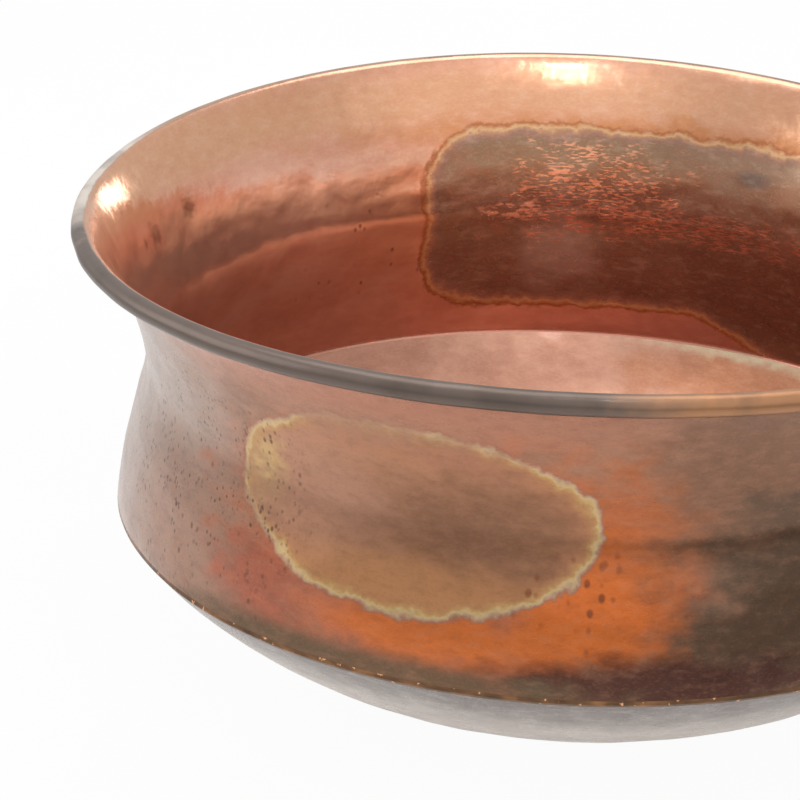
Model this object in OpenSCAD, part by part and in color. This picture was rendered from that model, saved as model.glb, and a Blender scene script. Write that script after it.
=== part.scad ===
// Open copper bowl: a flared wall sheet with a wired rim, brazed along a ridge
// to a dished base pan. The origin is the centre of the flat foot, +Z is up.

/* [Bowl] */
// Outside diameter across the rolled rim
rim_d = 400; // [390:2:480]
// Height from the foot to the top of the rim
height = 180; // [160:2:220]
// Outside diameter at the neck, the narrowest ring of the wall
neck_d = 341.4; // [280:0.2:352]
// Height of the neck above the foot
neck_z = 118; // [100:1:124]
// Outside diameter across the ridge where wall and base meet
ridge_d = 364.2; // [320:0.2:372]
// Height of the ridge above the foot
ridge_z = 56.6; // [44:0.2:66]
// Diameter of the flat that the bowl stands on
foot_d = 150; // [110:2:170]

/* [Sheet and wire] */
// Thickness of the copper sheet
sheet_t = 1.5; // [1:0.1:2.5]
// Diameter of the iron wire inside the rim
wire_d = 5; // [3:0.5:8]
// Clearance between the wire and the sheet rolled round it
wire_fit = 0.05; // [0.03:0.01:0.3]
// Angle that the sheet turns round the wire
roll_turn = 290; // [240:5:295]

/* [Curves] */
// Lean of the flare from upright, where it meets the roll
flare_lean = 40; // [25:1:50]
// Lean of the flare from upright, where it bends out of the neck
neck_lean = 10; // [0:1:15]
// Lean of the wall from upright, just above the ridge
wall_lean = 2.6; // [0:0.1:8]
// Fall of the base below level, just inside the ridge
pan_fall = 49.5; // [38:0.5:55]

/* [Seams] */
// Width of the brazed strip on each side of the ridge
seam_leg = 1.6; // [0.8:0.1:3]
// Width of the brazed strip up the wall, measured at the rim
side_seam_w = 2.2; // [1:0.1:4]
// Direction of the upright seam, counted from +X towards +Y
side_seam_turn = 81; // [0:1:359]

/* [Hidden] */
$fn = 180;

// Steps along each curve of the section
wall_steps = 12;
flare_steps = 14;
roll_steps = 26;
pan_steps = 18;

// The wire's centre, and the radii of the roll round it
roll_in = wire_d / 2 + wire_fit;
roll_out = roll_in + sheet_t;
wire_at = [rim_d / 2 - roll_out, height - roll_out];
roll_start = 180 - flare_lean;

// Handles of the curves, as shares of the drop or run that each one spans
flare_top_share = 0.50;
flare_neck_share = 0.10;
wall_neck_share = 0.16;
wall_ridge_share = 0.40;
pan_ridge_share = 0.32;
pan_foot_share = 0.44;

neck = [neck_d / 2, neck_z];
ridge = [ridge_d / 2, ridge_z];
foot = [foot_d / 2, 0];
flare_top = wire_at + roll_in * [-cos(flare_lean), sin(flare_lean)];
flare_drop = flare_top.y - neck.y;
wall_drop = neck.y - ridge.y;
pan_run = ridge.x - foot.x;

// Directions in which the wall and the base leave the ridge
wall_way = [-sin(wall_lean), cos(wall_lean)];
pan_way = [-cos(pan_fall), -sin(pan_fall)];

// Control points of the outer surface, from the ridge up and from the ridge in
wall_curve = [
    ridge,
    ridge + wall_ridge_share * wall_drop * wall_way,
    neck - [0, wall_neck_share * wall_drop],
    neck
];
flare_curve = [
    neck,
    neck + flare_neck_share * flare_drop * [sin(neck_lean), cos(neck_lean)],
    flare_top - flare_top_share * flare_drop * [sin(flare_lean), cos(flare_lean)],
    flare_top
];
pan_curve = [
    ridge,
    ridge + pan_ridge_share * pan_run * pan_way,
    foot + [pan_foot_share * pan_run, 0],
    foot
];

// A point of a cubic curve, and the share of it that a length from its start covers
function curve_point(c, u) = pow(1 - u, 3) * c[0] + 3 * pow(1 - u, 2) * u * c[1]
    + 3 * (1 - u) * u * u * c[2] + u * u * u * c[3];
function start_share(c, length) = length / (3 * norm(c[1] - c[0]));
function curve_run(c, from, steps) =
    [for (i = [0:steps]) curve_point(c, from + (1 - from) * i / steps)];

// Everything but the first point, so that two runs join without a double point
function tail(run) = [for (i = [1:len(run) - 1]) run[i]];
function reversed(run) = [for (i = [len(run) - 1:-1:0]) run[i]];

// The run moved sideways to its left by d
function left_of(way) = [-way.y, way.x] / norm(way);
function shifted(run, d) = [for (i = [0:len(run) - 1])
    run[i] + d * left_of(run[min(i + 1, len(run) - 1)] - run[max(i - 1, 0)])];

roll_run = [for (i = [0:roll_steps])
    let (turn = roll_start - roll_turn * i / roll_steps)
    wire_at + roll_in * [cos(turn), sin(turn)]];
wall_outside = concat(
    curve_run(wall_curve, start_share(wall_curve, seam_leg), wall_steps),
    tail(curve_run(flare_curve, 0, flare_steps)),
    tail(roll_run)
);
wall_inside = shifted(wall_outside, sheet_t);

pan_outside = concat(
    curve_run(pan_curve, start_share(pan_curve, seam_leg), pan_steps),
    [[0, 0]]
);
pan_lift = shifted(pan_outside, -sheet_t);
pan_inside = concat([for (i = [0:len(pan_lift) - 2]) pan_lift[i]], [[0, sheet_t]]);

// Half the angle that the upright seam takes
side_seam_half = asin(side_seam_w / rim_d);

module wall_section() {
    polygon(concat(wall_outside, reversed(wall_inside)));
}

// Wall with its flare, and the edge rolled outwards round the wire
module wall_sheet() {
    color("peru")
        rotate(side_seam_turn + side_seam_half)
            rotate_extrude(angle = 360 - 2 * side_seam_half)
                wall_section();
}

// Dished bottom with a flat foot
module base_pan() {
    color("sienna")
        rotate_extrude()
            polygon(concat(pan_outside, reversed(pan_inside)));
}

// Iron wire that stiffens the rim
module rim_wire() {
    color("dimgray")
        rotate_extrude()
            translate(wire_at)
                circle(d = wire_d);
}

// Brazing metal between the wall's lower edge and the base pan, with a fillet inside
module base_seam() {
    color("goldenrod")
        rotate_extrude()
            polygon([wall_outside[0], wall_inside[0], pan_inside[0], pan_outside[0], ridge]);
}

// Brazing metal that joins the two ends of the wall sheet
module side_seam() {
    color("goldenrod")
        rotate(side_seam_turn - side_seam_half)
            rotate_extrude(angle = 2 * side_seam_half)
                wall_section();
}

wall_sheet();
base_pan();
rim_wire();
base_seam();
side_seam();
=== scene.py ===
"""Looks of the hammered copper bowl: hand-worked sheet, rolled rim, brazed seams, heat marks and studio."""

import logging
import math
from dataclasses import dataclass, field, replace
from enum import Enum

import bpy
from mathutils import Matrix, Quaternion, Vector, noise

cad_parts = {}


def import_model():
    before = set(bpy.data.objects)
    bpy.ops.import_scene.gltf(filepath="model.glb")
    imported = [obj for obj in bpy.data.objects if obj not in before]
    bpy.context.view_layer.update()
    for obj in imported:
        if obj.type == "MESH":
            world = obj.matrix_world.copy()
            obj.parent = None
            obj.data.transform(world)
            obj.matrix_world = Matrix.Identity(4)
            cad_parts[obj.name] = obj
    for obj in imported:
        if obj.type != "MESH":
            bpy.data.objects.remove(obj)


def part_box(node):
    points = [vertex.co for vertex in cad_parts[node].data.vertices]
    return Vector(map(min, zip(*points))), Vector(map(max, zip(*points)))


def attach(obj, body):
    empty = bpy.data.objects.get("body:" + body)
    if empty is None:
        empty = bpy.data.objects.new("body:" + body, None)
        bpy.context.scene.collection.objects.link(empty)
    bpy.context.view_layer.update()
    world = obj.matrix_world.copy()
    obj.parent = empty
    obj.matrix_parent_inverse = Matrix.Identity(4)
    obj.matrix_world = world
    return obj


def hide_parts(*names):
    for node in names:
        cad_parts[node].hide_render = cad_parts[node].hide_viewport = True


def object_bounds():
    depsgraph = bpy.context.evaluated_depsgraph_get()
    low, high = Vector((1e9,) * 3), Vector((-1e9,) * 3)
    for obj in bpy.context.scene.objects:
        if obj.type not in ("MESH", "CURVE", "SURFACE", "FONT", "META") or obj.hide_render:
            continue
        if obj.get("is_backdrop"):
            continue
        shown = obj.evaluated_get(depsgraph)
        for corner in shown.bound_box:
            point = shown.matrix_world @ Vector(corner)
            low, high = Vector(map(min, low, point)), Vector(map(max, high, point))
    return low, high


LOG = logging.getLogger("copper_bowl")
BODY = "root"
MM = 0.001


class Side(Enum):
    """Which side of the sheet a finish covers."""

    OUTSIDE = 0
    INSIDE = 1


def deselect_all() -> None:
    """Leaves edit mode and deselects every object, so that the next operator acts on its own object only."""
    if bpy.context.object and bpy.context.object.mode != "OBJECT":
        bpy.ops.object.mode_set(mode="OBJECT")
    bpy.ops.object.select_all(action="DESELECT")


def rgb(code: str) -> tuple[float, float, float, float]:
    """Turns an sRGB hex colour into linear red, green, blue and alpha."""
    parts = [int(code[i:i + 2], 16) / 255 for i in (1, 3, 5)]
    linear = [p / 12.92 if p <= 0.04045 else ((p + 0.055) / 1.055) ** 2.4 for p in parts]
    return (*linear, 1.0)


def add(tree: bpy.types.NodeTree, kind: str, inputs: dict[int | str, object] | None = None,
        stops: list[tuple[float, str]] | None = None, **settings: object) -> bpy.types.Node:
    """Adds a node with its settings and links.

    Args:
        tree: The node tree.
        kind: The node's type.
        inputs: Socket name or number to a constant, to the output that feeds it, or to the node whose
            first output does.
        stops: Places and hex colours of a colour ramp.
        settings: The node's properties.

    Returns:
        The node.
    """
    node = tree.nodes.new(kind)
    for name, value in settings.items():
        setattr(node, name, value)
    for key, value in (inputs or {}).items():
        if isinstance(value, bpy.types.Node):
            value = value.outputs[0]
        if isinstance(value, bpy.types.NodeSocket):
            tree.links.new(value, node.inputs[key])
        else:
            node.inputs[key].default_value = value
    for i, (place, code) in enumerate(stops or []):
        ramp = node.color_ramp.elements
        stop = ramp[i] if i < len(ramp) else ramp.new(place)
        stop.position = place
        stop.color = rgb(code)
    return node


def cubic(controls: list[Vector], steps: int, start: float = 0.0) -> list[Vector]:
    """Points along a cubic curve.

    Args:
        controls: The curve's two ends and two handles.
        steps: Number of equal steps along it.
        start: Share of the curve left out at its beginning.

    Returns:
        The points, both ends included.
    """
    points = []
    for i in range(steps + 1):
        u = start + (1 - start) * i / steps
        v = 1 - u
        points.append(
            v**3 * controls[0] + 3 * v * v * u * controls[1]
            + 3 * v * u * u * controls[2] + u**3 * controls[3]
        )
    return points


def beside(run: list[Vector], distance: float) -> list[Vector]:
    """The run of points moved sideways to its left by a distance."""
    moved = []
    last = len(run) - 1
    for i, point in enumerate(run):
        way = (run[min(i + 1, last)] - run[max(i - 1, 0)]).normalized()
        moved.append(point + distance * Vector((-way.y, way.x)))
    return moved


def softened(run: list[Vector], middle: int, reach: int, passes: int) -> list[Vector]:
    """Rounds a run of points about one of them, as hand work rounds a bend.

    Args:
        run: The points.
        middle: Index of the point at the bend.
        reach: How many points each way may move.
        passes: How often each point is moved towards its neighbours.

    Returns:
        The points, with the bend rounded.
    """
    moved = list(run)
    for _ in range(passes):
        before = list(moved)
        for i in range(middle - reach, middle + reach + 1):
            moved[i] = (before[i - 1] + 2 * before[i] + before[i + 1]) / 4
    return moved


@dataclass
class Section:
    """The bowl's section: radius and height, in metres, of the side of the sheet that faces the wire."""

    rim_r: float
    height: float
    ridge_r: float
    ridge_z: float
    neck_r: float = 170.7 * MM
    neck_z: float = 118.0 * MM
    foot_r: float = 75.0 * MM
    sheet: float = 1.5 * MM
    wire_r: float = 2.5 * MM
    wire_fit: float = 0.05 * MM
    roll_turn: float = 290.0
    flare_lean: float = 40.0
    neck_lean: float = 10.0
    wall_lean: float = 2.6
    pan_fall: float = 49.5
    seam_leg: float = 1.6 * MM
    braze_hollow: float = 0.3 * MM
    seam_turn: float = 81.0
    seam_width: float = 2.2 * MM
    wall_points: int = 30
    flare_points: int = 32
    neck_reach: int = 6
    neck_passes: int = 14

    @property
    def roll_in(self) -> float:
        """Radius of the inside of the roll."""
        return self.wire_r + self.wire_fit

    @property
    def wire_at(self) -> Vector:
        """Centre of the wire."""
        out = self.roll_in + self.sheet
        return Vector((self.rim_r - out, self.height - out))

    def wall(self) -> tuple[list[Vector], list[Vector]]:
        """The wall from the ridge seam to the flare's top, and the roll round the wire.

        Returns:
            The wall's points and the roll's points, which start where the wall's end.
        """
        lean = math.radians(self.flare_lean)
        bend = math.radians(self.neck_lean)
        foot_lean = math.radians(self.wall_lean)
        ridge = Vector((self.ridge_r, self.ridge_z))
        neck = Vector((self.neck_r, self.neck_z))
        top = self.wire_at + self.roll_in * Vector((-math.cos(lean), math.sin(lean)))
        drop = neck.y - ridge.y
        rise = top.y - neck.y
        lower = [
            ridge,
            ridge + 0.40 * drop * Vector((-math.sin(foot_lean), math.cos(foot_lean))),
            neck - Vector((0, 0.16 * drop)),
            neck,
        ]
        upper = [
            neck,
            neck + 0.10 * rise * Vector((math.sin(bend), math.cos(bend))),
            top - 0.50 * rise * Vector((math.sin(lean), math.cos(lean))),
            top,
        ]
        share = self.seam_leg / (3 * (lower[1] - lower[0]).length)
        sharp = cubic(lower, self.wall_points, share) + cubic(upper, self.flare_points)[1:]
        wall = softened(sharp, self.wall_points, self.neck_reach, self.neck_passes)
        turns = [math.pi - lean - math.radians(self.roll_turn) * i / 20 for i in range(21)]
        roll = [self.wire_at + self.roll_in * Vector((math.cos(t), math.sin(t))) for t in turns]
        return wall, roll

    def pan(self) -> list[Vector]:
        """Points of the base pan's underside, from the ridge seam to the centre of the foot."""
        fall = math.radians(self.pan_fall)
        ridge = Vector((self.ridge_r, self.ridge_z))
        foot = Vector((self.foot_r, 0))
        run = ridge.x - foot.x
        curve = [
            ridge,
            ridge + 0.32 * run * Vector((-math.cos(fall), -math.sin(fall))),
            foot + Vector((0.44 * run, 0)),
            foot,
        ]
        share = self.seam_leg / (3 * (curve[1] - curve[0]).length)
        flat = [Vector((self.foot_r * (1 - i / 30), 0)) for i in range(1, 31)]
        return cubic(curve, 56, share) + flat

    def braze(self) -> list[Vector]:
        """Outline of the brazing metal at the ridge, with a hollow fillet on its inner side."""
        wall = self.wall()[0]
        pan = self.pan()
        wall_in = beside(wall[:3], self.sheet)[0]
        pan_in = beside(pan[:3], -self.sheet)[0]
        ridge = Vector((self.ridge_r, self.ridge_z))
        hollow = (wall_in + pan_in) / 2 + self.braze_hollow * (ridge - wall_in).normalized()
        return [wall[0], wall_in, hollow, pan_in, pan[0], ridge]


@dataclass(frozen=True)
class Pucker:
    """A patch of low folds in the sheet, placed by direction in degrees and height in metres."""

    turn: float
    high: float
    span: float
    tall: float
    size: float
    depth: float
    width: float = 0.32

    def push(self, point: Vector) -> float:
        """How far the folds push a point outwards."""
        off = math.degrees(math.atan2(point.y, point.x)) - self.turn
        around = (off + 180) % 360 - 180
        reach = math.hypot(around / self.span, (point.z - self.high) / self.tall)
        level = abs(noise.noise(Vector((point.x, point.y, 1.8 * point.z)) / self.size))
        fold = max(0.0, 1 - level / self.width)
        return self.depth * max(0.0, 1 - reach ** 2) * fold * fold * (3 - 2 * fold)


PUCKERS = [
    Pucker(130.0, 141 * MM, 28.0, 15 * MM, 46 * MM, 0.42 * MM),
    Pucker(150.0, 139 * MM, 24.0, 16 * MM, 19 * MM, 0.16 * MM),
]


@dataclass
class Handwork:
    """What hand work does to the round form: a waving rim, soft dents and low folds in the wall."""

    section: Section
    rim_wave: float = 3.5 * MM
    rim_wave_turn: float = 5.6
    back_rise: float = 1.0 * MM
    ripple: float = 0.35 * MM
    rim_lump: float = 0.25 * MM

    def shift(self, point: Vector) -> Vector:
        """How far a point of the true form is pushed by the hand work.

        Args:
            point: A point of the true form.

        Returns:
            The move in metres. It depends only on the place, so pieces that meet stay together.
        """
        sec = self.section
        radius = math.hypot(point.x, point.y)
        turn = math.atan2(point.y, point.x)
        lift = max(0.0, min(1.0, (point.z - sec.neck_z) / (sec.height - sec.neck_z)))
        settle = max(0.0, min(1.0, point.z / sec.ridge_z))
        wave = -self.rim_wave * math.cos(2 * turn - math.radians(2 * self.rim_wave_turn)) * lift
        around = Vector((point.x, point.y, point.z * 3.0))
        push = noise.noise(around / 0.060) + 0.5 * noise.noise(around / 0.022)
        push *= self.ripple * settle * (0.4 + 0.6 * (1 - lift))
        on_rim = max(0.0, min(1.0, (radius - sec.wire_at.x + sec.roll_in) / sec.roll_in))
        push += self.rim_lump * on_rim * noise.noise(point / 0.014)
        push += sum(pucker.push(point) for pucker in PUCKERS)
        outward = Vector((point.x, point.y, 0)) / max(radius, 1e-6)
        drop = -2.0 * MM * lift + self.back_rise * lift * (1 + math.sin(turn)) / 2
        return outward * push + Vector((0, 0, wave + drop))

    def work(self, piece: bpy.types.Object) -> None:
        """Moves every vertex of a piece by the hand work."""
        for vertex in piece.data.vertices:
            vertex.co += self.shift(vertex.co.copy())


@dataclass(frozen=True)
class HammerMarks:
    """One set of planishing marks: how wide each is and how deep."""

    name: str
    size: float
    depth: float


PLANISHING = [
    HammerMarks("broad_marks", 21 * MM, 0.42 * MM),
    HammerMarks("narrow_marks", 11 * MM, 0.16 * MM),
]


@dataclass
class Maker:
    """Draws a section and turns it into sheet."""

    section: Section
    segments: int = 460

    def turned(self, name: str, run: list[Vector], start: float, angle: float, steps: int,
               capped: bool = False) -> bpy.types.Object:
        """Draws a run of points as edges and spins it about the bowl's axis.

        Args:
            name: The piece's name.
            run: Radius and height of each point.
            start: Direction of the drawn section, in radians from +X.
            angle: How far it is spun, in radians.
            steps: Number of steps of the spin.
            capped: True fills the run as a face, so that the ends of a part turn are closed.

        Returns:
            The piece, with its doubles merged and its normals made consistent.
        """
        deselect_all()
        places = [Vector((p.x * math.cos(start), p.x * math.sin(start), p.y)) for p in run]
        bpy.ops.mesh.primitive_plane_add(size=MM, location=(0, 0, 0))
        piece = bpy.context.object
        piece.name = name
        piece.data.name = name
        bpy.ops.object.mode_set(mode="EDIT")
        bpy.ops.mesh.select_all(action="SELECT")
        bpy.ops.mesh.merge(type="CENTER")
        bpy.ops.transform.translate(value=places[0])
        before = places[0]
        for place in places[1:]:
            bpy.ops.mesh.extrude_region_move(TRANSFORM_OT_translate={"value": place - before})
            before = place
        if capped:
            bpy.ops.mesh.select_all(action="SELECT")
            bpy.ops.mesh.edge_face_add()
        bpy.ops.mesh.select_all(action="SELECT")
        bpy.ops.mesh.remove_doubles(threshold=0.001 * MM)
        bpy.ops.mesh.select_all(action="SELECT")
        bpy.ops.mesh.spin(steps=steps, angle=angle, center=(0, 0, 0), axis=(0, 0, -1))
        bpy.ops.mesh.select_all(action="SELECT")
        bpy.ops.mesh.remove_doubles(threshold=0.01 * MM)
        bpy.ops.mesh.normals_make_consistent(inside=False)
        bpy.ops.object.mode_set(mode="OBJECT")
        return piece

    def face_outwards(self, piece: bpy.types.Object) -> None:
        """Turns a surface's faces so that its lowest face looks away from the middle of the bowl."""
        lowest = min(piece.data.polygons, key=lambda face: face.center.z)
        middle = Vector((0, 0, self.section.height / 2))
        if lowest.normal.dot(lowest.center - middle) < 0:
            deselect_all()
            piece.select_set(True)
            bpy.context.view_layer.objects.active = piece
            bpy.ops.object.mode_set(mode="EDIT")
            bpy.ops.mesh.select_all(action="SELECT")
            bpy.ops.mesh.flip_normals()
            bpy.ops.object.mode_set(mode="OBJECT")

    def hammered(self, piece: bpy.types.Object, marks: list["HammerMarks"]) -> None:
        """Beats hammer marks into a surface, fading out towards its joints.

        Args:
            piece: The surface, before it has its thickness.
            marks: The sets of marks, each beaten over the last.
        """
        sec = self.section
        fade = piece.vertex_groups.new(name="hammered")
        seam = math.radians(sec.seam_turn)
        for vertex in piece.data.vertices:
            place = vertex.co
            radius = math.hypot(place.x, place.y)
            turn = math.atan2(place.y, place.x) - seam
            from_seam = radius * abs(math.sin(turn / 2)) * 2
            from_ridge = math.hypot(radius - sec.ridge_r, place.z - sec.ridge_z)
            from_wire = math.hypot(radius - sec.wire_at.x, place.z - sec.wire_at.y) - sec.roll_in
            on_foot = 1.0 if place.z > 0.5 * MM else 0.0
            joints = min(from_ridge, from_wire)
            if place.z > sec.ridge_z:
                joints = min(joints, from_seam)
            weight = on_foot * max(0.0, min(1.0, joints / (9 * MM)))
            fade.add([vertex.index], weight, "REPLACE")
        deselect_all()
        piece.select_set(True)
        bpy.context.view_layer.objects.active = piece
        for mark in marks:
            pattern = bpy.data.textures.new(mark.name, "VORONOI")
            pattern.distance_metric = "DISTANCE_SQUARED"
            pattern.noise_scale = mark.size
            beat = piece.modifiers.new(mark.name, "DISPLACE")
            beat.texture = pattern
            beat.texture_coords = "LOCAL"
            beat.strength = mark.depth
            beat.mid_level = 0.3
            beat.vertex_group = "hammered"
            bpy.ops.object.modifier_apply(modifier=beat.name)
        piece.vertex_groups.remove(piece.vertex_groups["hammered"])

    def thickened(self, piece: bpy.types.Object) -> None:
        """Gives a surface the thickness of the sheet, on its inner side."""
        deselect_all()
        piece.select_set(True)
        bpy.context.view_layer.objects.active = piece
        wall = piece.modifiers.new("sheet", "SOLIDIFY")
        wall.thickness = self.section.sheet
        wall.offset = -1
        wall.use_even_offset = True
        wall.material_offset = Side.INSIDE.value
        bpy.ops.object.modifier_apply(modifier=wall.name)

    def smoothed(self, piece: bpy.types.Object, angle: float) -> None:
        """Shades a piece smooth, but for edges sharper than an angle in degrees."""
        deselect_all()
        piece.select_set(True)
        bpy.context.view_layer.objects.active = piece
        bpy.ops.object.shade_smooth_by_angle(angle=math.radians(angle))


class Shape(Enum):
    """Outline of a heat stain."""

    OVAL = "oval"
    BLOCK = "block with round corners"


@dataclass(frozen=True)
class Tone:
    """A soft-edged patch of colour, placed by its direction in degrees and its height in millimetres:
    tarnish in most places, painted light or shade in some.
    """

    turn: float
    high: float
    span: float
    tall: float
    colour: str
    amount: float = 1.0
    soft: float = 0.5
    ragged: float = 0.5
    grain: float = 16.0
    rough: float | None = None


@dataclass(frozen=True)
class Scrapes:
    """A patch in which the tarnish is rubbed through along the turn, down to bright metal."""

    patch: Tone
    length: float = 9.0
    stretch: float = 5.0
    cover: float = 0.5


@dataclass(frozen=True)
class Specks:
    """A patch of small dark pits, in loose clusters."""

    patch: Tone
    spacing: float = 5.0
    size: float = 0.22
    stretch: float = 0.7


@dataclass(frozen=True)
class Stain:
    """A heat stain with rings of oxide colours along its edge.

    The rings are pairs of distance from the edge in millimetres, less than zero inside, and colour.
    """

    shape: Shape
    turn: float
    high: float
    half_wide: float
    half_tall: float
    rings: tuple[tuple[float, str], ...]
    corner: float = 28.0
    waver: float = 5.0
    fray: float = 1.6
    fade: float = 3.0
    rough: float = 0.36
    tones: tuple[Tone, ...] = ()
    scrapes: tuple[Scrapes, ...] = ()
    drop: "Stain | None" = None


class Painter:
    """Lays a finish on a material in coats, each over the last."""

    def __init__(self, name: str, colour: str, rough: float, metal: float, middle: float,
                 radius: float = 173.0) -> None:
        """Starts with the bare metal.

        Args:
            name: The material's name.
            colour: Its hex colour.
            rough: Its roughness.
            metal: Its metallic share.
            middle: Direction that the unrolled surface is centred on, so that its ends meet opposite.
            radius: Radius in millimetres at which a turn is measured along the surface.
        """
        self.material = bpy.data.materials.new(name)
        self.material.use_nodes = True
        self.tree = self.material.node_tree
        self.tree.nodes.clear()
        self.arc = math.radians(radius)
        self.grains = {}
        self.place = add(self.tree, "ShaderNodeTexCoord").outputs["Object"]
        turned = add(self.tree, "ShaderNodeMapping",
                     {"Vector": self.place, "Rotation": (0, 0, -math.radians(middle))})
        parts = add(self.tree, "ShaderNodeSeparateXYZ", {0: turned})
        angle = add(self.tree, "ShaderNodeMath", {0: parts.outputs["Y"], 1: parts.outputs["X"]},
                    operation="ARCTAN2")
        turn = add(self.tree, "ShaderNodeMath", {0: angle, 1: math.degrees(1), 2: middle},
                   operation="MULTIPLY_ADD")
        self.high = add(self.tree, "ShaderNodeMath", {0: parts.outputs["Z"], 1: 1 / MM},
                        operation="MULTIPLY")
        self.chart = add(self.tree, "ShaderNodeCombineXYZ", {0: turn, 1: self.high})
        flat = add(self.tree, "ShaderNodeVectorMath", {0: self.place, 1: (1 / MM, 1 / MM, 0)},
                   operation="MULTIPLY")
        self.radius = add(self.tree, "ShaderNodeVectorMath", {0: flat},
                          operation="LENGTH").outputs["Value"]
        self.colour = rgb(colour)
        self.rough = rough
        self.metal = metal
        self.relief = 0.0

    def grain(self, size: float, stretch: float = 1.0, detail: float = 4.0,
              slant: float = 0.0) -> bpy.types.Node:
        """Noise of a size in millimetres, the same node each time that it is asked for again.

        Args:
            size: Width of its lumps, along the turn.
            stretch: How many times lower than wide they are.
            detail: How many finer layers it holds.
            slant: How far the lumps lean, in millimetres of height for each millimetre along X.

        Returns:
            The noise node: its first output is a level around 0.5, its second a colour.
        """
        key = (size, stretch, detail, slant)
        if key not in self.grains:
            scaled = add(self.tree, "ShaderNodeMapping",
                         {"Vector": self.place, "Scale": (1, 1, stretch), "Rotation": (0, slant, 0)})
            self.grains[key] = add(self.tree, "ShaderNodeTexNoise",
                                   {"Vector": scaled, "Scale": 1 / (size * MM), "Detail": detail})
        return self.grains[key]

    def from_centre(self, turn: float, high: float) -> bpy.types.Node:
        """Degrees and millimetres from a place, the short way round the bowl."""
        away = add(self.tree, "ShaderNodeVectorMath", {0: self.chart, 1: (turn, high, 0)},
                   operation="SUBTRACT")
        return add(self.tree, "ShaderNodeVectorMath",
                   {0: away, 1: (180, 9999, 1), 2: (-180, -9999, -1)}, operation="WRAP")

    def patch(self, tone: Tone, within: object = 1.0) -> bpy.types.Node:
        """Mask of a soft-edged patch.

        Args:
            tone: The patch.
            within: A mask or a number that it is multiplied by.

        Returns:
            The mask, up to the patch's amount.
        """
        away = add(self.tree, "ShaderNodeVectorMath",
                   {0: self.from_centre(tone.turn, tone.high), 1: (tone.span, tone.tall, 1)},
                   operation="DIVIDE")
        reach = add(self.tree, "ShaderNodeVectorMath", {0: away}, operation="LENGTH").outputs["Value"]
        broken = add(self.tree, "ShaderNodeMath",
                     {0: self.grain(tone.grain, 1.6), 1: 2 * tone.ragged, 2: reach},
                     operation="MULTIPLY_ADD")
        mask = add(self.tree, "ShaderNodeMapRange",
                   {"Value": broken, "From Min": 1 - tone.soft + tone.ragged,
                    "From Max": 1 + tone.soft + tone.ragged, "To Min": tone.amount, "To Max": 0.0},
                   interpolation_type="SMOOTHSTEP")
        return add(self.tree, "ShaderNodeMath", {0: mask, 1: within}, operation="MULTIPLY")

    def coat(self, mask: object, colour: object, rough: float | None = None,
             metal: float | None = None) -> None:
        """Lays a coat over what is there.

        Args:
            mask: Where it lies, from 0 to 1.
            colour: A hex colour, or the output that gives it.
            rough: Its roughness, where it has one of its own.
            metal: Its metallic share, where it has one of its own.
        """
        over = rgb(colour) if isinstance(colour, str) else colour
        self.colour = add(self.tree, "ShaderNodeMix", {0: mask, 6: self.colour, 7: over},
                          data_type="RGBA").outputs[2]
        if rough is not None:
            self.rough = add(self.tree, "ShaderNodeMix", {0: mask, 2: self.rough, 3: rough})
        if metal is not None:
            self.metal = add(self.tree, "ShaderNodeMix", {0: mask, 2: self.metal, 3: metal})

    def tone(self, tone: Tone, within: object = 1.0) -> None:
        """Lays a soft-edged patch of colour: tarnish in most places, painted light or shade in some."""
        self.coat(self.patch(tone, within), tone.colour, tone.rough)

    def mottle(self, size: float, dark: str, light: str, amount: float, stretch: float = 2.0) -> None:
        """Clouds the colour towards a darker and a lighter one by noise."""
        cloud = self.grain(size, stretch, 6.0)
        for code, low, high in ((dark, 0.50, 0.30), (light, 0.50, 0.72)):
            mask = add(self.tree, "ShaderNodeMapRange",
                       {"Value": cloud, "From Min": low, "From Max": high, "To Max": amount})
            self.coat(mask, code)

    def scrape(self, scrapes: Scrapes, within: object = 1.0) -> None:
        """Rubs the tarnish off in ragged strokes, and leaves the metal a little smoother."""
        strokes = self.grain(scrapes.length, scrapes.stretch, 9.0)
        shown = add(self.tree, "ShaderNodeMapRange",
                    {"Value": strokes, "From Min": 1 - scrapes.cover, "From Max": 1.05 - scrapes.cover})
        mask = add(self.tree, "ShaderNodeMath", {0: shown, 1: self.patch(scrapes.patch, within)},
                   operation="MULTIPLY")
        self.coat(mask, scrapes.patch.colour, scrapes.patch.rough)

    def speckle(self, specks: Specks) -> None:
        """Scatters dark pits, which also sink a little into the surface."""
        squeezed = add(self.tree, "ShaderNodeMapping",
                       {"Vector": self.place, "Scale": (1, 1, specks.stretch)})
        cells = add(self.tree, "ShaderNodeTexVoronoi",
                    {"Vector": squeezed, "Scale": 1 / (specks.spacing * MM)})
        dots = add(self.tree, "ShaderNodeMapRange",
                   {"Value": cells.outputs["Distance"], "From Min": specks.size,
                    "From Max": 0.5 * specks.size})
        clusters = add(self.tree, "ShaderNodeMapRange",
                       {"Value": self.grain(3 * specks.spacing, 0.5), "From Min": 0.47, "From Max": 0.56})
        shown = add(self.tree, "ShaderNodeMath", {0: dots, 1: clusters}, operation="MULTIPLY")
        mask = add(self.tree, "ShaderNodeMath", {0: shown, 1: self.patch(specks.patch)},
                   operation="MULTIPLY")
        self.coat(mask, specks.patch.colour, specks.patch.rough)
        self.press(mask, -0.06)

    def press(self, mask: object, depth: float) -> None:
        """Adds a mask to the relief, by a height in millimetres."""
        self.relief = add(self.tree, "ShaderNodeMath", {0: mask, 1: depth, 2: self.relief},
                          operation="MULTIPLY_ADD")

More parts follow.
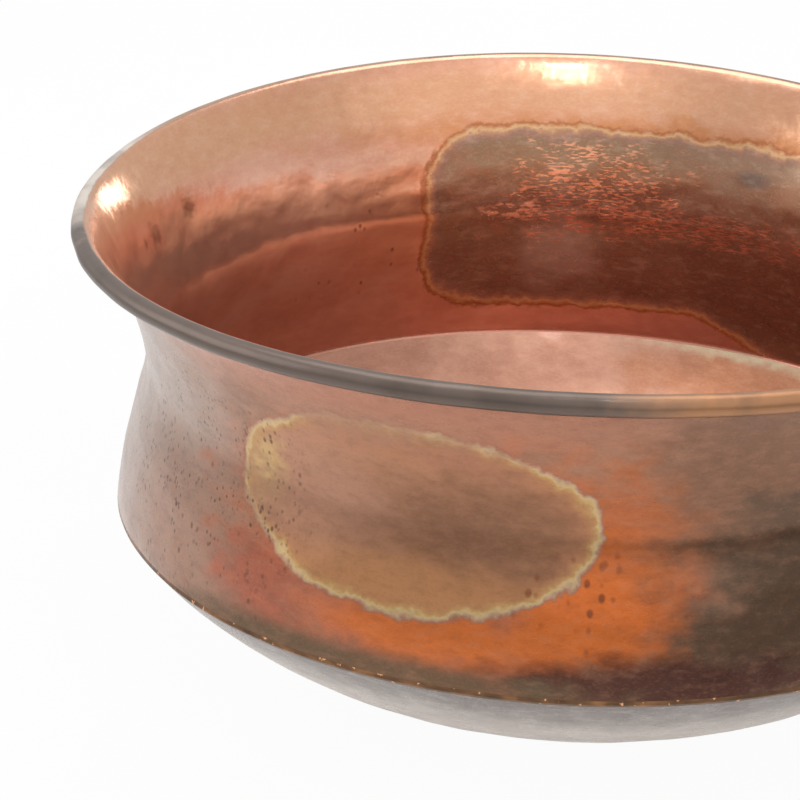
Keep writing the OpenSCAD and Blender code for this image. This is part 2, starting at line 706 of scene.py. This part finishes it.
    def edge_distance(self, stain: Stain) -> bpy.types.Node:
        """Distance in millimetres from a stain's edge, less than zero inside it."""
        tree = self.tree
        away = add(tree, "ShaderNodeVectorMath",
                   {0: self.from_centre(stain.turn, stain.high), 1: (self.arc, 1, 0)},
                   operation="MULTIPLY")
        for size, shift in ((24.0, stain.waver), (7.0, stain.fray), (2.4, 0.4 * stain.fray)):
            wander = add(tree, "ShaderNodeVectorMath",
                         {0: self.grain(size, 1.0, 6.0).outputs[1], 1: (0.5, 0.5, 0.5)},
                         operation="SUBTRACT")
            away = add(tree, "ShaderNodeVectorMath",
                       {0: wander, 1: (2 * shift, 2 * shift, 0), 2: away}, operation="MULTIPLY_ADD")
        half = (stain.half_wide, stain.half_tall)
        if stain.shape is Shape.OVAL:
            reach, steep = [
                add(tree, "ShaderNodeVectorMath",
                    {0: add(tree, "ShaderNodeVectorMath", {0: away, 1: (half[0]**p, half[1]**p, 1)},
                            operation="DIVIDE")}, operation="LENGTH").outputs["Value"]
                for p in (1, 2)
            ]
            past = add(tree, "ShaderNodeMath", {0: reach, 1: 1.0}, operation="SUBTRACT")
            raised = add(tree, "ShaderNodeMath", {0: reach, 1: past}, operation="MULTIPLY")
            distance = add(tree, "ShaderNodeMath", {0: raised, 1: steep}, operation="DIVIDE")
        else:
            folded = add(tree, "ShaderNodeVectorMath", {0: away}, operation="ABSOLUTE")
            core = (half[0] - stain.corner, half[1] - stain.corner, 0)
            outside = add(tree, "ShaderNodeVectorMath", {0: folded, 1: core}, operation="SUBTRACT")
            kept = add(tree, "ShaderNodeVectorMath", {0: outside, 1: (0, 0, 0)}, operation="MAXIMUM")
            length = add(tree, "ShaderNodeVectorMath", {0: kept}, operation="LENGTH").outputs["Value"]
            distance = add(tree, "ShaderNodeMath", {0: length, 1: stain.corner}, operation="SUBTRACT")
        if stain.drop:
            distance = add(tree, "ShaderNodeMath",
                           {0: distance, 1: self.edge_distance(stain.drop), 2: 8.0},
                           operation="SMOOTH_MIN")
        return distance

    def stain(self, stain: Stain) -> bpy.types.Node:
        """Lays a heat stain, its inner tones and the scrapes through it.

        Args:
            stain: The stain.

        Returns:
            The distance from its edge in millimetres.
        """
        distance = self.edge_distance(stain)
        deep, wide = stain.rings[0][0], stain.rings[-1][0]
        level = add(self.tree, "ShaderNodeMapRange",
                    {"Value": distance, "From Min": deep, "From Max": wide})
        rings = add(self.tree, "ShaderNodeValToRGB", {"Fac": level},
                    stops=[((far - deep) / (wide - deep), code) for far, code in stain.rings])
        covered = add(self.tree, "ShaderNodeMapRange",
                      {"Value": distance, "From Min": wide, "From Max": wide - stain.fade},
                      interpolation_type="SMOOTHSTEP")
        self.coat(covered, rings.outputs["Color"], stain.rough)
        well_in = add(self.tree, "ShaderNodeMapRange",
                      {"Value": distance, "From Min": -1.0, "From Max": -6.0})
        for tone in stain.tones:
            self.tone(tone, well_in)
        for scrapes in stain.scrapes:
            self.scrape(scrapes, well_in)
        return distance

    def finish(self, wax: float = 0.0) -> bpy.types.Material:
        """Joins the coats to the shader.

        Args:
            wax: How far a thin clear wax covers the metal, from 0 to 1.

        Returns:
            The finished material.
        """
        bump = add(self.tree, "ShaderNodeBump", {"Strength": 1.0, "Distance": MM, "Height": self.relief})
        shader = add(self.tree, "ShaderNodeBsdfPrincipled",
                     {"Base Color": self.colour, "Metallic": self.metal, "Roughness": self.rough,
                      "Normal": bump, "Coat Weight": wax, "Coat Roughness": 0.10})
        add(self.tree, "ShaderNodeOutputMaterial", {"Surface": shader})
        return self.material


# Radii in millimetres over which the rim's oxide comes in, and the worn and pale parts along it; the pale
# part on the left is a painted reflection
RIM_EDGE = (195.2, 196.2)
RIM_TONES = (
    Tone(292.0, 176.0, 16.0, 60.0, "#B8845C", 0.9, 0.4),
    Tone(120.0, 176.0, 60.0, 60.0, "#C09A80", 0.85, 0.3),
    # Painted reflection: the pale cream-white rim on the left, where the roll mirrors the backdrop
    Tone(174.0, 176.0, 15.0, 60.0, "#EADFD4", 0.9, 0.5),
)

OUTSIDE_STAIN = Stain(
    Shape.OVAL, 249.8, 117.5, 71.5, 35.5, waver=4.5, fray=3.6, fade=1.2, rough=0.34,
    rings=(
        (-34.0, "#A07258"), (-14.0, "#B07C5C"), (-6.0, "#B47C5A"), (-3.4, "#BA865A"),
        (-1.8, "#C49A64"), (-0.6, "#D2B480"), (0.4, "#C0A080"), (1.4, "#AE7C64"), (2.6, "#AC5C34"),
    ),
    tones=(
        Tone(260.0, 116.0, 12.0, 20.0, "#80583F", 0.65, 0.6, 0.9, 10.0),
        Tone(236.0, 122.0, 10.0, 24.0, "#BC8C74", 0.6, 0.6),
        Tone(252.0, 92.0, 14.0, 10.0, "#C48A58", 0.6, 0.6),
        Tone(229.0, 122.0, 3.4, 17.0, "#D0AC74", 0.85, 0.5, 0.8, 8.0),
    ),
)

OUTSIDE_TONES = (
    # Painted shade: the outer wall darker all round, from the ridge up to about 90 mm
    Tone(81.0, 60.0, 999.0, 30.0, "#7A5442", 0.6, 0.5),
    # Painted reflection: a pale greyish band down the wall's left side, where it mirrors the left panel
    Tone(204.0, 112.0, 19.0, 60.0, "#B09C90", 0.95, 0.6),
    Tone(216.0, 84.0, 14.0, 28.0, "#AC8470", 0.8, 0.6),
    # Painted light: an orange lit patch on the front of the wall, around and under the heat stain
    Tone(256.0, 100.0, 29.0, 44.0, "#C4704C", 0.85, 0.4, 0.8),
    Tone(248.0, 164.0, 30.0, 15.0, "#B07860", 0.9, 0.6),
    # Painted dark reflection: these two darker patches on the right of the wall, where it mirrors the dark
    # floor off to the right
    Tone(297.0, 140.0, 17.0, 50.0, "#86604A", 0.95, 0.4, 0.8),
    Tone(305.0, 84.0, 27.0, 42.0, "#66503F", 0.95, 0.35, 1.1, 22.0),
    Tone(233.0, 80.0, 9.0, 14.0, "#AE5E48", 0.7, 0.6, 0.9),
    Tone(273.0, 106.0, 9.0, 34.0, "#C8682E", 0.85, 0.7, 0.9),
    Tone(272.0, 90.0, 9.0, 17.0, "#DC702C", 0.8, 0.6, 0.9),
    Tone(243.0, 79.0, 9.0, 9.0, "#C07A60", 0.7, 0.6, 0.8),
    Tone(258.0, 76.0, 17.0, 9.0, "#DA7230", 0.85, 0.6, 0.8),
    Tone(281.0, 64.0, 18.0, 9.0, "#4A2820", 0.95, 0.5, 0.9),
    Tone(245.0, 60.0, 26.0, 6.0, "#66543F", 0.9, 0.5, 0.9),
)

INSIDE_STAIN = Stain(
    Shape.BLOCK, 60.0, 113.0, 163.0, 40.0, waver=3.5, fray=3.2, fade=1.6, rough=0.28,
    rings=(
        (-30.0, "#90705A"), (-10.0, "#94745C"), (-4.0, "#947460"), (-2.5, "#A07868"),
        (-0.8, "#BC8C6C"), (0.3, "#DCB080"), (1.2, "#CC9868"), (2.2, "#B46C44"), (4.0, "#C88452"),
    ),
    tones=(
        Tone(62.0, 147.0, 18.0, 11.0, "#A88870", 0.8, 0.6),
        Tone(98.0, 146.0, 22.0, 12.0, "#947456", 0.8, 0.6),
        Tone(66.0, 140.0, 2.4, 3.0, "#6A6A68", 0.7, 0.7),
        Tone(60.0, 90.0, 46.0, 24.0, "#825C4C", 0.85, 0.5),
        Tone(86.0, 123.0, 26.0, 9.0, "#785040", 0.55, 0.7, 0.8),
        # Painted reflection: a faint pale smudge low on the inner back wall
        Tone(94.0, 100.0, 5.0, 17.0, "#BCACA4", 0.6, 0.8, 0.9, 9.0),
    ),
    scrapes=(
        Scrapes(Tone(86.0, 130.0, 7.0, 17.0, "#EAA27C", 0.85, 0.45, 2.2, 9.0, 0.24), 3.4, 4.0, 0.49),
        Scrapes(Tone(95.5, 128.0, 4.5, 17.0, "#EAA27C", 0.85, 0.45, 2.2, 9.0, 0.24), 3.4, 4.0, 0.47),
        Scrapes(Tone(74.0, 114.5, 21.0, 7.0, "#C87C64", 0.9, 0.45, 1.8, 9.0, 0.28), 4.0, 5.0, 0.50),
        Scrapes(Tone(101.0, 118.0, 4.0, 4.0, "#E4A888", 0.9, 0.35, 1.4, 7.0, 0.28), 4.0, 2.5, 0.52),
    ),
    drop=Stain(Shape.OVAL, 22.0, 102.0, 172.0, 62.0, (), waver=5.0, fray=2.5),
)

INSIDE_TONES = (
    # Painted light: a pale band on the inner left wall just above the neck, where it faces the overhead
    # light
    Tone(152.0, 131.0, 58.0, 15.0, "#FFCDB2", 0.95, 0.6, 0.8),
    Tone(158.0, 148.0, 1.5, 3.6, "#704634", 0.7, 0.6, 0.8, 3.0),
    Tone(169.0, 147.0, 1.5, 3.4, "#704634", 0.75, 0.6, 0.8, 3.0),
    # A smoother patch on the inner left flare, so that it mirrors the back panel crisply; its paler colour
    # is a painted highlight
    Tone(172.0, 166.0, 16.0, 16.0, "#E8B498", 0.6, 0.5, 0.6, 8.0, 0.12),
    Tone(81.0, 168.0, 999.0, 12.0, "#DCA67C", 0.75, 0.7),
    Tone(112.0, 118.0, 14.0, 40.0, "#D8966A", 0.6, 0.7),
    Tone(80.0, 153.0, 38.0, 7.0, "#CC844C", 0.8, 0.6, 0.8),
    Tone(72.0, 62.0, 20.0, 8.0, "#C08070", 0.7, 0.6),
)


@dataclass(frozen=True)
class HammeredCopper:
    """Sheet copper, hammered, used over a fire and rubbed by hand.

    The metal is pink to orange where it is bare and brown to grey where it has oxidised. Hand work and use
    leave it satin and not polished, so highlights are soft, with small bright flecks where a dent faces a
    light.
    """

    name: str
    colour: str
    dark: str
    light: str
    middle: float
    rough: float = 0.30
    metal: float = 0.85
    wax: float = 0.4
    tones: tuple[Tone, ...] = ()
    stain: Stain | None = None
    specks: tuple[Specks, ...] = ()
    over: tuple[Tone, ...] = ()

    def material(self) -> bpy.types.Material:
        """The finished material."""
        coats = Painter(self.name, self.colour, self.rough, self.metal, self.middle)
        coats.mottle(34.0, self.dark, self.light, 0.35)
        # Some tones are painted light, shade and reflections; each is marked where it is listed
        for tone in self.tones:
            coats.tone(tone)
        if self.stain:
            coats.stain(self.stain)
        for tone in self.over:
            coats.tone(tone)
        for specks in self.specks:
            coats.speckle(specks)
        # Clouds of tarnish 7 mm wide and flecks of 1.5 mm, drawn out along the turn by wiping
        coats.mottle(7.0, self.dark, self.light, 0.18, 2.5)
        coats.mottle(1.5, self.dark, self.light, 0.12, 2.0)
        # Shallow marks 9 mm wide from the planishing hammer, and a grain of 1.2 mm from use
        coats.press(coats.grain(9.0, 1.0, 2.0), 0.22)
        coats.press(coats.grain(1.2, 1.5, 3.0), 0.018)
        coats.rough = add(coats.tree, "ShaderNodeMath",
                          {0: coats.grain(11.0, 1.6), 1: 0.12, 2: coats.rough}, operation="MULTIPLY_ADD")
        coats.rough = add(coats.tree, "ShaderNodeMath", {0: coats.rough, 1: 0.06}, operation="SUBTRACT")
        self.rim(coats)
        return coats.finish(self.wax)

    def rim(self, coats: Painter) -> None:
        """Lays the darker oxide of the rolled rim, which hands and hooks have worn, and a pale painted
        reflection on its left side.
        """
        wavering = add(coats.tree, "ShaderNodeMath",
                       {0: coats.grain(13.0, 1.0, 6.0), 1: 2.0, 2: coats.radius},
                       operation="MULTIPLY_ADD")
        edge = add(coats.tree, "ShaderNodeMapRange",
                   {"Value": wavering, "From Min": RIM_EDGE[0], "From Max": RIM_EDGE[1]})
        coats.coat(edge, "#6E6058", 0.40, 0.7)
        for tone in RIM_TONES:
            coats.tone(tone, edge)
        blotches = add(coats.tree, "ShaderNodeMapRange",
                       {"Value": coats.grain(24.0, 1.0, 6.0), "From Min": 0.50, "From Max": 0.66,
                        "To Max": 0.4})
        dark = add(coats.tree, "ShaderNodeMath", {0: blotches, 1: edge}, operation="MULTIPLY")
        coats.coat(dark, "#54483E", 0.36)


@dataclass(frozen=True)
class Braze:
    """Brass brazing metal, filed flush and tarnished brown, with bright dots where it is rubbed."""

    name: str = "tarnished_brass_braze"
    colour: str = "#6E5038"
    bright: str = "#E8A878"
    fillet: str = "#CC9480"

    def material(self) -> bpy.types.Material:
        """The finished material."""
        coats = Painter(self.name, self.colour, 0.36, 0.8, 261.0)
        coats.mottle(9.0, "#4A3628", "#A87850", 0.7)
        shown = add(coats.tree, "ShaderNodeMapRange",
                    {"Value": coats.grain(2.6, 1.0, 3.0), "From Min": 0.64, "From Max": 0.68})
        coats.coat(shown, self.bright, 0.28)
        fillet = add(coats.tree, "ShaderNodeMapRange",
                     {"Value": coats.radius, "From Min": 181.0, "From Max": 180.4})
        coats.coat(fillet, self.fillet, 0.24)
        coats.press(coats.grain(1.2, 1.0, 3.0), 0.05)
        return coats.finish()


@dataclass(frozen=True)
class IronWire:
    """Drawn iron wire: dark grey, dull, with specks of rust."""

    name: str = "drawn_iron_wire"
    colour: str = "#4A4644"

    def material(self) -> bpy.types.Material:
        """The finished material."""
        coats = Painter(self.name, self.colour, 0.5, 0.9, 261.0)
        coats.mottle(4.0, "#2E2A28", "#7A4A32", 0.6)
        coats.press(coats.grain(0.8, 1.0, 3.0), 0.03)
        return coats.finish()


WALL_OUTSIDE = HammeredCopper(
    "hammered_copper_outside", "#A0745C", "#6A4838", "#C08A6C", 261.0, 0.28, 0.84, 0.22,
    OUTSIDE_TONES, OUTSIDE_STAIN,
    (
        Specks(Tone(212.0, 106.0, 22.0, 50.0, "#6A5044", 0.85, 0.5, 0.5), 2.2, 0.34),
        Specks(Tone(220.0, 84.0, 18.0, 30.0, "#5A3A2C", 0.7, 0.6, 0.6), 4.2, 0.26),
        Specks(Tone(231.0, 112.0, 6.0, 34.0, "#5A4234", 0.85, 0.5, 0.5), 3.0, 0.32),
        Specks(Tone(273.0, 90.0, 9.0, 22.0, "#7A3A1C", 0.8, 0.6, 0.5), 5.0, 0.32),
    ),
    over=(
        Tone(243.0, 151.0, 13.0, 7.0, "#A87A62", 0.8, 0.6, 1.0, 9.0),
        Tone(258.0, 144.0, 7.0, 6.0, "#A8725A", 0.55, 0.6, 1.2, 7.0),
        Tone(230.0, 108.0, 4.0, 12.0, "#A67A62", 0.65, 0.6, 1.2, 6.0),
    ),
)
WALL_INSIDE = HammeredCopper(
    "hammered_copper_inside", "#E8A890", "#C88470", "#F4CDB8", 81.0, 0.21, 0.86, 0.15,
    INSIDE_TONES, INSIDE_STAIN,
    (
        Specks(Tone(122.0, 100.0, 12.0, 34.0, "#7A4030", 0.7, 0.6, 0.5), 4.5),
        Specks(Tone(165.0, 147.0, 12.0, 7.0, "#5A3024", 0.9, 0.5, 0.5), 8.0, 0.3),
    ),
)
# Grey rather than copper-coloured outside of the base pan
BASE_OUTSIDE = HammeredCopper(
    "grey_copper_base", "#C6BCB4", "#8E847E", "#E8E0D8", 261.0, 0.28, 0.74, 0.08,
    # Painted shade: the base darker just under the ridge
    (Tone(81.0, 60.0, 999.0, 19.0, "#6E6664", 0.9, 0.8),),
)
BASE_INSIDE = HammeredCopper(
    "hammered_copper_floor", "#BC8A74", "#96604C", "#DCAE94", 81.0, 0.36, 0.86, 0.15,
    (
        Tone(64.0, 44.0, 15.0, 14.0, "#B4744C", 0.7, 0.6, 0.8),
        Tone(66.0, 57.5, 14.0, 3.5, "#D4C4A4", 0.8, 0.6, 0.9, 8.0),
    ),
)


@dataclass
class Bowl:
    """The bowl's sheets, seams and wire."""

    section: Section
    maker: Maker
    handwork: Handwork
    pieces: list[bpy.types.Object] = field(default_factory=list)

    def seam_span(self) -> tuple[float, float]:
        """Direction in which the upright seam starts, and the angle that it takes."""
        half = math.asin(self.section.seam_width / 2 / self.section.rim_r)
        return math.radians(self.section.seam_turn) - half, 2 * half

    def wall(self) -> bpy.types.Object:
        """Wall sheet with its flare and its edge rolled round the wire."""
        start, gap = self.seam_span()
        wall, roll = self.section.wall()
        piece = self.maker.turned(
            "copper_wall", wall + roll[1:], start + gap, 2 * math.pi - gap, self.maker.segments
        )
        self.maker.face_outwards(piece)
        self.maker.hammered(piece, PLANISHING)
        sides = {Side.OUTSIDE: WALL_OUTSIDE, Side.INSIDE: WALL_INSIDE}
        return self.finished(piece, "wall_sheet", sides)

    def pan(self) -> bpy.types.Object:
        """Dished base pan with its flat foot."""
        piece = self.maker.turned(
            "copper_base", self.section.pan(), 0.0, 2 * math.pi, self.maker.segments
        )
        self.maker.face_outwards(piece)
        self.maker.hammered(piece, PLANISHING)
        sides = {Side.OUTSIDE: BASE_OUTSIDE, Side.INSIDE: BASE_INSIDE}
        return self.finished(piece, "base_pan", sides)

    def ridge_braze(self) -> bpy.types.Object:
        """Brazing metal between the wall and the base pan."""
        outline = self.section.braze()
        piece = self.maker.turned(
            "ridge_braze", outline + outline[:1], 0.0, 2 * math.pi, self.maker.segments
        )
        self.maker.smoothed(piece, 35)
        piece.data.materials.append(Braze().material())
        return self.bound(piece, "base_seam")

    def side_braze(self) -> bpy.types.Object:
        """Brazing metal that joins the two ends of the wall sheet."""
        start, gap = self.seam_span()
        wall, roll = self.section.wall()
        run = wall + roll[1:]
        outline = run + beside(run, self.section.sheet)[::-1]
        piece = self.maker.turned("side_braze", outline, start, gap, 3, capped=True)
        self.maker.smoothed(piece, 35)
        sides = {Side.OUTSIDE: WALL_OUTSIDE, Side.INSIDE: WALL_INSIDE}
        for side, finish in sides.items():
            seam = replace(finish, name=finish.name.replace("hammered_copper", "flush_braze"))
            piece.data.materials.append(seam.material())
        for face in piece.data.polygons:
            inward = Vector((face.center.x, face.center.y, 0)).dot(face.normal) < 0
            face.material_index = (Side.INSIDE if inward else Side.OUTSIDE).value
        return self.bound(piece, "side_seam")

    def wire(self) -> bpy.types.Object:
        """Iron wire inside the roll."""
        deselect_all()
        at = self.section.wire_at
        bpy.ops.mesh.primitive_torus_add(
            major_segments=self.maker.segments, minor_segments=16, location=(0, 0, at.y),
            major_radius=at.x, minor_radius=self.section.wire_r,
        )
        piece = bpy.context.object
        piece.name = "iron_wire"
        bpy.ops.object.transform_apply(location=True, rotation=True, scale=True)
        self.maker.smoothed(piece, 60)
        piece.data.materials.append(IronWire().material())
        return self.bound(piece, "rim_wire")

    def finished(self, piece: bpy.types.Object, node: str,
                 sides: dict[Side, HammeredCopper]) -> bpy.types.Object:
        """Gives a hammered surface its finishes, its thickness and the hand work, and binds it.

        Args:
            piece: The surface.
            node: The CAD node that it replaces.
            sides: The finish of each side.

        Returns:
            The piece.
        """
        for side in Side:
            piece.data.materials.append(sides[side].material())
        self.maker.thickened(piece)
        self.maker.smoothed(piece, 35)
        return self.bound(piece, node)

    def bound(self, piece: bpy.types.Object, node: str) -> bpy.types.Object:
        """Works a piece by hand and binds it to the frame."""
        self.handwork.work(piece)
        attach(piece, BODY)
        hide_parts(node)
        self.pieces.append(piece)
        LOG.info("%s: %d faces", piece.name, len(piece.data.polygons))
        return piece


@dataclass
class Studio:
    """Pale floor, soft lights and the camera."""

    section: Section
    distance: float = 1.35
    elevation: float = 19.23
    pan: float = 2.93
    tilt: float = -3.28
    roll: float = -2.87
    lens: float = 155.8
    floor_size: float = 14.0
    front_window: tuple[float, float, float] = (0.30, -0.75, 0.59)
    pool: tuple[float, float] = (0.40, 0.90)
    beyond: float = 0.55
    dark_floor: tuple[float, float, float] = (0.85, -0.75, 0.0)
    floor_glow: float = 0.22
    floor_share: float = 0.66
    core: tuple[float, float] = (0.20, 0.32)
    core_share: float = 1.4

    def camera(self) -> None:
        """Camera that looks down into the bowl, with the bowl's right side out of its view."""
        rise = math.radians(self.elevation)
        rim = Vector((0, 0, 178 * MM))
        back = Vector((0, -math.cos(rise), math.sin(rise)))
        data = bpy.data.cameras.new("camera")
        data.lens = self.lens
        camera = bpy.data.objects.new("camera", data)
        bpy.context.scene.collection.objects.link(camera)
        camera.rotation_mode = "QUATERNION"
        camera.location = rim + back * self.distance
        look = (-back).to_track_quat("-Z", "Y")
        turn = Vector((0, 1, 0))
        side = Vector((1, 0, 0))
        ahead = Vector((0, 0, -1))
        panned = look @ Quaternion(turn, math.radians(self.pan))
        tilted = panned @ Quaternion(side, math.radians(self.tilt))
        camera.rotation_quaternion = tilted @ Quaternion(ahead, math.radians(self.roll))
        bpy.context.scene.camera = camera

    def floor(self) -> None:
        """White acrylic table, lit from below near the bowl and darker farther off in reflections."""
        deselect_all()
        bpy.ops.mesh.primitive_plane_add(size=self.floor_size, location=(0, 0, 0))
        floor = bpy.context.object
        floor.name = "floor"
        material = bpy.data.materials.new("lit_white_acrylic")
        material.use_nodes = True
        tree = material.node_tree
        tree.nodes.clear()
        place = add(tree, "ShaderNodeTexCoord").outputs["Object"]
        away = add(tree, "ShaderNodeVectorMath", {0: place}, operation="LENGTH").outputs["Value"]
        pool = add(tree, "ShaderNodeMapRange",
                   {"Value": away, "From Min": self.pool[0], "From Max": self.pool[1], "To Min": 1.0,
                    "To Max": self.beyond}, interpolation_type="SMOOTHSTEP")
        core = add(tree, "ShaderNodeMapRange",
                   {"Value": away, "From Min": self.core[0], "From Max": self.core[1],
                    "To Min": self.core_share, "To Max": 1.0}, interpolation_type="SMOOTHSTEP")
        from_dark = add(tree, "ShaderNodeVectorMath", {0: place, 1: self.dark_floor},
                        operation="DISTANCE").outputs["Value"]
        unlit = add(tree, "ShaderNodeMapRange",
                    {"Value": from_dark, "From Min": 0.40, "From Max": 0.75, "To Min": 0.2},
                    interpolation_type="SMOOTHSTEP")
        lighted = add(tree, "ShaderNodeMath", {0: pool, 1: unlit}, operation="MULTIPLY")
        shared = add(tree, "ShaderNodeMath", {0: lighted, 1: self.floor_share}, operation="MULTIPLY")
        level = add(tree, "ShaderNodeMath", {0: shared, 1: core}, operation="MULTIPLY")
        cloud = add(tree, "ShaderNodeTexNoise", {"Vector": place, "Scale": 3.0, "Detail": 2.0})
        tint = add(tree, "ShaderNodeMix", {0: cloud, 6: rgb("#FFFFFF"), 7: rgb("#FCFCFC")},
                   data_type="RGBA").outputs[2]
        plain = add(tree, "ShaderNodeBsdfDiffuse", {"Color": tint})
        strength = add(tree, "ShaderNodeMath", {0: core, 1: self.floor_glow}, operation="MULTIPLY")
        lit = add(tree, "ShaderNodeEmission", {"Color": tint, "Strength": strength})
        glow = add(tree, "ShaderNodeAddShader", {0: lit, 1: plain})
        dark = add(tree, "ShaderNodeEmission", {"Strength": 0.0})
        mirrored = add(tree, "ShaderNodeMixShader", {0: level, 1: dark, 2: glow})
        bright = add(tree, "ShaderNodeEmission", {"Color": tint, "Strength": 1.0})
        shown = add(tree, "ShaderNodeMixShader", {0: 0.03, 1: bright, 2: plain})
        seen = add(tree, "ShaderNodeLightPath").outputs["Is Camera Ray"]
        mixed = add(tree, "ShaderNodeMixShader", {0: seen, 1: mirrored, 2: shown})
        add(tree, "ShaderNodeOutputMaterial", {"Surface": mixed})
        floor.data.materials.append(material)
        floor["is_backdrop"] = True

    def soft_box(self, name: str, place: Vector, size: tuple[float, float], power: float,
                 aim: Vector) -> None:
        """Adds a rectangular soft light that looks at a point."""
        data = bpy.data.lights.new(name, "AREA")
        data.shape = "RECTANGLE"
        data.size, data.size_y = size
        data.energy = power
        light = bpy.data.objects.new(name, data)
        bpy.context.scene.collection.objects.link(light)
        light.location = place
        light.rotation_mode = "QUATERNION"
        light.rotation_quaternion = (aim - place).to_track_quat("-Z", "Y")
        light.visible_camera = False

    def lights(self) -> None:
        """Softboxes above and beside the bowl."""
        middle = Vector((0, 0, 0.10))
        self.soft_box("overhead", Vector((-0.2, 0.5, 2.3)), (2.2, 1.6), 24.0, middle)
        self.soft_box("front_key", Vector((0.14, -0.62, 1.50)), (0.13, 0.05), 0.8, middle)
        self.soft_box("front_key_low", Vector((0.14, -0.80, 1.40)), (0.13, 0.04), 0.5, middle)
        self.soft_box("left_panel", Vector((-1.7, -0.1, 0.8)), (1.6, 1.3), 9.0, middle)
        self.soft_box("back_panel", Vector((0.80, 1.90, 0.42)), (0.46, 0.34), 1.8, middle)

    def world(self) -> None:
        """Pale surroundings, with a large window in front of the bowl that only reflections see."""
        world = bpy.data.worlds.new("studio")
        bpy.context.scene.world = world
        world.use_nodes = True
        tree = world.node_tree
        tree.nodes.clear()
        way = add(tree, "ShaderNodeTexCoord").outputs["Generated"]
        front = add(tree, "ShaderNodeVectorMath", {0: way, 1: self.front_window},
                    operation="DOT_PRODUCT").outputs["Value"]
        window = add(tree, "ShaderNodeMapRange",
                     {"Value": front, "From Min": 0.70, "From Max": 0.92, "To Min": 0.72, "To Max": 1.1},
                     interpolation_type="SMOOTHSTEP")
        seen = add(tree, "ShaderNodeLightPath").outputs["Is Camera Ray"]
        level = add(tree, "ShaderNodeMix", {0: seen, 2: window, 3: 1.0})
        tint = add(tree, "ShaderNodeBackground", {"Color": (1, 1, 1, 1), "Strength": level})
        output = add(tree, "ShaderNodeOutputWorld", {"Surface": tint})
        output.is_active_output = True
        view = bpy.context.scene.view_settings
        view.view_transform = "Standard"


def main() -> None:
    """Builds the bowl around the frame, dresses it and lights it."""
    logging.basicConfig(level=logging.INFO)
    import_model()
    cad_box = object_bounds()
    seam_low, seam_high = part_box("base_seam")
    section = Section(
        rim_r=cad_box[1].x, height=cad_box[1].z,
        ridge_r=seam_high.x, ridge_z=(seam_low.z + seam_high.z) / 2,
    )
    bowl = Bowl(section, Maker(section), Handwork(section))
    bowl.wall()
    bowl.pan()
    bowl.ridge_braze()
    bowl.side_braze()
    bowl.wire()
    studio = Studio(section)
    studio.camera()
    studio.floor()
    studio.lights()
    studio.world()


if __name__ == "__main__":
    main()
